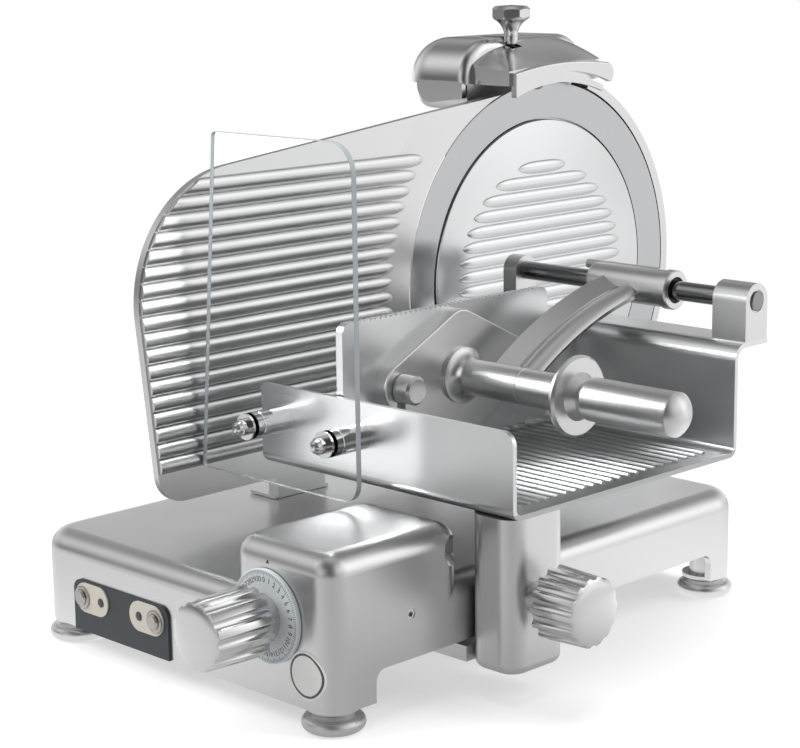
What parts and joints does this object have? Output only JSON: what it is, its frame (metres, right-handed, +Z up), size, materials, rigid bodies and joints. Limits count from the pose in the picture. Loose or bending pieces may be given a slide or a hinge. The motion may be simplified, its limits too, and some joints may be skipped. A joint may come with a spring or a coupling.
{
  "type": "food slicer",
  "caption": "Upright-knife food slicer with sliding tray, swinging pusher, ribbed gauge plate, clear guard, thickness dial and sharpener.",
  "frame": {"origin": "centre of the bounding box's bottom, on the table under the feet", "axes": "+X to the operator's right, square to the knife; +Y away from the operator along the carriage stroke; +Z up"},
  "size_m": [0.4806, 0.7735, 0.4925],
  "materials": {
    "cast_aluminium": "satin, cast and brushed",
    "anodised_sheet": "satin sheet",
    "polished_steel": "polished",
    "steel": "brushed",
    "black_plastic": "satin",
    "panel_grey": "satin film",
    "lens_plastic": "gloss",
    "clear": "clear",
    "foot_grey": "satin",
    "belt_rubber": "matt",
    "motor_paint": "satin",
    "stone": "matt abrasive"
  },
  "bodies": {
    "base": {"base_casting": "cast_aluminium", "side_screw": "steel", "feet": "foot_grey", "control_panel": "panel_grey", "button_plates": "steel", "button_bezels": "polished_steel", "indicator_lenses": "lens_plastic", "contact_blocks": "black_plastic", "cable_gland": "black_plastic", "carriage_guide_rod": "polished_steel", "roller_rail": "steel", "gauge_guide_rod": "polished_steel", "knife_upright": "cast_aluminium", "upright_cover": "anodised_sheet", "cover_screws": "steel", "drive_motor": "motor_paint", "drive_belt": "belt_rubber", "knife_bearings": "steel", "knife_guard": "cast_aluminium", "knife_cover": "anodised_sheet", "cover_tie_knob": "cast_aluminium", "sharpener_body": "cast_aluminium", "sharpener_hood": "cast_aluminium", "sharpener_bracket": "cast_aluminium"},
    "start_button": {"start_button": "polished_steel"},
    "stop_button": {"stop_button": "polished_steel"},
    "knife": {"knife": "polished_steel", "knife_spindle": "steel", "knife_pulley": "cast_aluminium"},
    "motor_pulley": {"motor_pulley": "steel"},
    "carriage": {"carriage_arm": "cast_aluminium", "slider_bushes": "black_plastic", "roller_pin": "steel", "carriage_post": "cast_aluminium", "meat_tray": "anodised_sheet", "rod_block_left": "cast_aluminium", "rod_block_right": "cast_aluminium", "pusher_rod": "polished_steel", "guard_glass": "clear", "guard_studs": "steel", "guard_nuts": "polished_steel"},
    "guide_roller": {"guide_roller": "black_plastic"},
    "lock_knob": {"lock_knob": "cast_aluminium"},
    "rod_bushes": {"rod_bushes": "black_plastic"},
    "pusher": {"pusher_arm": "cast_aluminium", "pusher_tube": "cast_aluminium", "hand_guard": "cast_aluminium", "pusher_handle": "cast_aluminium", "plate_bracket": "cast_aluminium", "pusher_plate": "anodised_sheet"},
    "plate_lock_pin": {"plate_lock_pin": "steel"},
    "thickness": {"thickness_knob": "cast_aluminium", "thickness_dial": "anodised_sheet", "scroll_cam": "steel"},
    "gauge": {"gauge_plate": "cast_aluminium", "gauge_slide": "cast_aluminium"},
    "sharpener_lever": {"sharpener_lever": "steel", "sharpener_knob": "cast_aluminium"},
    "grinding_stone": {"grinding_stone": "stone"},
    "honing_stone": {"honing_stone": "stone"}
  },
  "joints": [
    {"name": "carriage_slide", "type": "slide", "parent": "base", "child": "carriage", "axis": [0, 1, 0], "range_m": [-0.085, 0.24]},
    {"name": "guide_roller_spin", "type": "hinge", "parent": "carriage", "child": "guide_roller", "pos_m": [0.11475, -0.15025, 0.0638], "axis": [1, 0, 0], "continuous": true},
    {"name": "lock_knob_turn", "type": "hinge", "parent": "carriage", "child": "lock_knob", "pos_m": [0.2, -0.153, 0.0815], "axis": [1, 0, 0], "range_deg": [-180, 180]},
    {"name": "pusher_slide", "type": "slide", "parent": "carriage", "child": "rod_bushes", "axis": [1, 0, 0], "range_m": [-0.074, 0.045]},
    {"name": "pusher_swing", "type": "hinge", "parent": "rod_bushes", "child": "pusher", "pos_m": [0.05425, 0.11365, 0.2657], "axis": [-1, 0, 0], "range_deg": [0, 100]},
    {"name": "plate_lock_pull", "type": "slide", "parent": "pusher", "child": "plate_lock_pin", "axis": [1, 0, 0], "range_m": [0, 0.006], "stiffness_N_per_m": 400},
    {"name": "thickness_turn", "type": "hinge", "parent": "base", "child": "thickness", "pos_m": [0.06625, -0.31275, 0.0805], "axis": [0, -1, 0], "range_deg": [0, 348]},
    {"name": "gauge_slide_in", "type": "slide", "parent": "base", "child": "gauge", "axis": [-1, 0, 0], "range_m": [0, 0.016]},
    {"name": "knife_spin", "type": "hinge", "parent": "base", "child": "knife", "pos_m": [-0.12275, 0.20025, 0.2475], "axis": [1, 0, 0], "continuous": true},
    {"name": "motor_spin", "type": "hinge", "parent": "base", "child": "motor_pulley", "pos_m": [-0.2, 0.20025, 0.1145], "axis": [1, 0, 0], "continuous": true},
    {"name": "start_press", "type": "slide", "parent": "base", "child": "start_button", "axis": [0, 1, 0], "range_m": [0, 0.002], "stiffness_N_per_m": 400},
    {"name": "stop_press", "type": "slide", "parent": "base", "child": "stop_button", "axis": [0, 1, 0], "range_m": [0, 0.002], "stiffness_N_per_m": 400},
    {"name": "sharpener_tilt", "type": "hinge", "parent": "base", "child": "sharpener_lever", "pos_m": [-0.18775, 0.18425, 0.4365], "axis": [0, -1, 0], "range_deg": [0, 20]},
    {"name": "grinding_stone_spin", "type": "hinge", "parent": "base", "child": "grinding_stone", "pos_m": [-0.13175, 0.21625, 0.4325], "axis": [1, 0, 0], "continuous": true},
    {"name": "honing_stone_spin", "type": "hinge", "parent": "base", "child": "honing_stone", "pos_m": [-0.11725, 0.18425, 0.4275], "axis": [1, 0, 0], "continuous": true}
  ],
  "couplings": [
    {"joint": "thickness_turn", "follows": "gauge_slide_in", "rad_per_m": 379.61},
    {"joint": "motor_spin", "follows": "knife_spin", "ratio": 2.6471},
    {"joint": "guide_roller_spin", "follows": "carriage_slide", "rad_per_m": -83.333}
  ]
}
